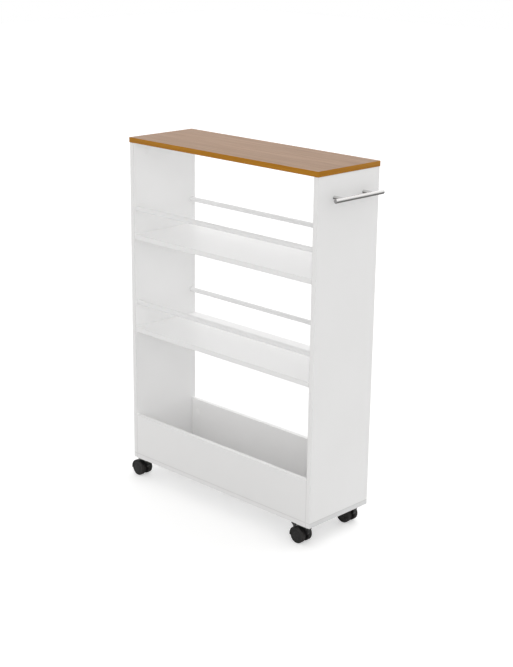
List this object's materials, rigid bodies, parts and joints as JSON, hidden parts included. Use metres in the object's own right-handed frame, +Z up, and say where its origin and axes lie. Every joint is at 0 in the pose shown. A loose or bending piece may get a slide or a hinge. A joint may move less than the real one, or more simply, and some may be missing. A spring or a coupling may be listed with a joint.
{
  "type": "rolling pantry cart",
  "caption": "Narrow rolling pantry cart with a wood-look top, railed shelves, an open bin, a side bar handle and twin-wheel swivel casters.",
  "frame": {"origin": "on the floor, at the middle of the footprint with the handle and the trailing casters counted in; the cabinet's own centre is 11 mm towards -X", "axes": "+X towards the handle end, +Z up, -Y is the open front"},
  "size_m": [0.6485, 0.202, 0.862],
  "materials": {
    "white_board": "white melamine on particle board, fine eggshell texture",
    "top_laminate": "tan wood-look laminate with a fine straight grain along the length",
    "top_edge_band": "golden brown wood-look edge banding",
    "white_rail": "white powder coat",
    "handle_steel": "brushed stainless steel",
    "zinc_steel": "bright zinc plate",
    "cam_alloy": "die-cast zinc alloy, dull",
    "white_plastic": "white moulded plastic",
    "dowel_wood": "plain beech",
    "black_nylon": "black moulded nylon, fine texture",
    "wheel_nylon": "dark moulded nylon with a slight sheen"
  },
  "bodies": {
    "cabinet": {"left_side_panel": "white_board", "right_side_panel": "white_board", "upper_shelf": "white_board", "lower_shelf": "white_board", "bottom_board": "white_board", "bin_front_board": "white_board", "bin_back_board": "white_board", "top_board": "top_laminate", "top_front_edge_band": "top_edge_band", "top_back_edge_band": "top_edge_band", "top_left_edge_band": "top_edge_band", "top_right_edge_band": "top_edge_band", "upper_front_rail": "white_rail", "upper_back_rail": "white_rail", "lower_front_rail": "white_rail", "lower_back_rail": "white_rail", "handle_bar": "handle_steel", "handle_front_post": "handle_steel", "handle_back_post": "handle_steel", "cam_bolts": "zinc_steel", "base_screws": "zinc_steel", "caster_screws": "zinc_steel", "handle_screws": "zinc_steel", "kingpin_rings": "zinc_steel", "cams": "cam_alloy", "cam_caps": "white_plastic", "dowels": "dowel_wood", "front_left_caster_plate": "zinc_steel", "front_left_kingpin": "zinc_steel", "back_left_caster_plate": "zinc_steel", "back_left_kingpin": "zinc_steel", "front_right_caster_plate": "zinc_steel", "front_right_kingpin": "zinc_steel", "back_right_caster_plate": "zinc_steel", "back_right_kingpin": "zinc_steel"},
    "front_left_caster": {"front_left_caster_hood": "black_nylon", "front_left_axle": "zinc_steel"},
    "front_left_front_wheel": {"front_left_front_wheel": "wheel_nylon"},
    "front_left_back_wheel": {"front_left_back_wheel": "wheel_nylon"},
    "back_left_caster": {"back_left_caster_hood": "black_nylon", "back_left_axle": "zinc_steel"},
    "back_left_front_wheel": {"back_left_front_wheel": "wheel_nylon"},
    "back_left_back_wheel": {"back_left_back_wheel": "wheel_nylon"},
    "front_right_caster": {"front_right_caster_hood": "black_nylon", "front_right_axle": "zinc_steel", "front_right_brake_pin": "zinc_steel"},
    "front_right_front_wheel": {"front_right_front_wheel": "wheel_nylon"},
    "front_right_back_wheel": {"front_right_back_wheel": "wheel_nylon"},
    "front_right_brake_lever": {"front_right_brake_lever": "black_nylon"},
    "back_right_caster": {"back_right_caster_hood": "black_nylon", "back_right_axle": "zinc_steel", "back_right_brake_pin": "zinc_steel"},
    "back_right_front_wheel": {"back_right_front_wheel": "wheel_nylon"},
    "back_right_back_wheel": {"back_right_back_wheel": "wheel_nylon"},
    "back_right_brake_lever": {"back_right_brake_lever": "black_nylon"}
  },
  "joints": [
    {"name": "front_left_swivel", "type": "hinge", "parent": "cabinet", "child": "front_left_caster", "pos_m": [-0.286, -0.08, 0.05], "axis": [0, 0, 1], "continuous": true},
    {"name": "front_left_front_wheel_spin", "type": "hinge", "parent": "front_left_caster", "child": "front_left_front_wheel", "pos_m": [-0.303, -0.08, 0.019], "axis": [0, 1, 0], "continuous": true},
    {"name": "front_left_back_wheel_spin", "type": "hinge", "parent": "front_left_caster", "child": "front_left_back_wheel", "pos_m": [-0.303, -0.08, 0.019], "axis": [0, 1, 0], "continuous": true},
    {"name": "back_left_swivel", "type": "hinge", "parent": "cabinet", "child": "back_left_caster", "pos_m": [-0.286, 0.08, 0.05], "axis": [0, 0, 1], "continuous": true},
    {"name": "back_left_front_wheel_spin", "type": "hinge", "parent": "back_left_caster", "child": "back_left_front_wheel", "pos_m": [-0.303, 0.08, 0.019], "axis": [0, 1, 0], "continuous": true},
    {"name": "back_left_back_wheel_spin", "type": "hinge", "parent": "back_left_caster", "child": "back_left_back_wheel", "pos_m": [-0.303, 0.08, 0.019], "axis": [0, 1, 0], "continuous": true},
    {"name": "front_right_swivel", "type": "hinge", "parent": "cabinet", "child": "front_right_caster", "pos_m": [0.264, -0.08, 0.05], "axis": [0, 0, 1], "continuous": true},
    {"name": "front_right_front_wheel_spin", "type": "hinge", "parent": "front_right_caster", "child": "front_right_front_wheel", "pos_m": [0.247, -0.08, 0.019], "axis": [0, 1, 0], "continuous": true},
    {"name": "front_right_back_wheel_spin", "type": "hinge", "parent": "front_right_caster", "child": "front_right_back_wheel", "pos_m": [0.247, -0.08, 0.019], "axis": [0, 1, 0], "continuous": true},
    {"name": "front_right_brake", "type": "hinge", "parent": "front_right_caster", "child": "front_right_brake_lever", "pos_m": [0.234, -0.08, 0.0391], "axis": [0, -1, 0], "range_deg": [0, 5.5]},
    {"name": "back_right_swivel", "type": "hinge", "parent": "cabinet", "child": "back_right_caster", "pos_m": [0.264, 0.08, 0.05], "axis": [0, 0, 1], "continuous": true},
    {"name": "back_right_front_wheel_spin", "type": "hinge", "parent": "back_right_caster", "child": "back_right_front_wheel", "pos_m": [0.247, 0.08, 0.019], "axis": [0, 1, 0], "continuous": true},
    {"name": "back_right_back_wheel_spin", "type": "hinge", "parent": "back_right_caster", "child": "back_right_back_wheel", "pos_m": [0.247, 0.08, 0.019], "axis": [0, 1, 0], "continuous": true},
    {"name": "back_right_brake", "type": "hinge", "parent": "back_right_caster", "child": "back_right_brake_lever", "pos_m": [0.234, 0.08, 0.0391], "axis": [0, -1, 0], "range_deg": [0, 5.5]}
  ]
}
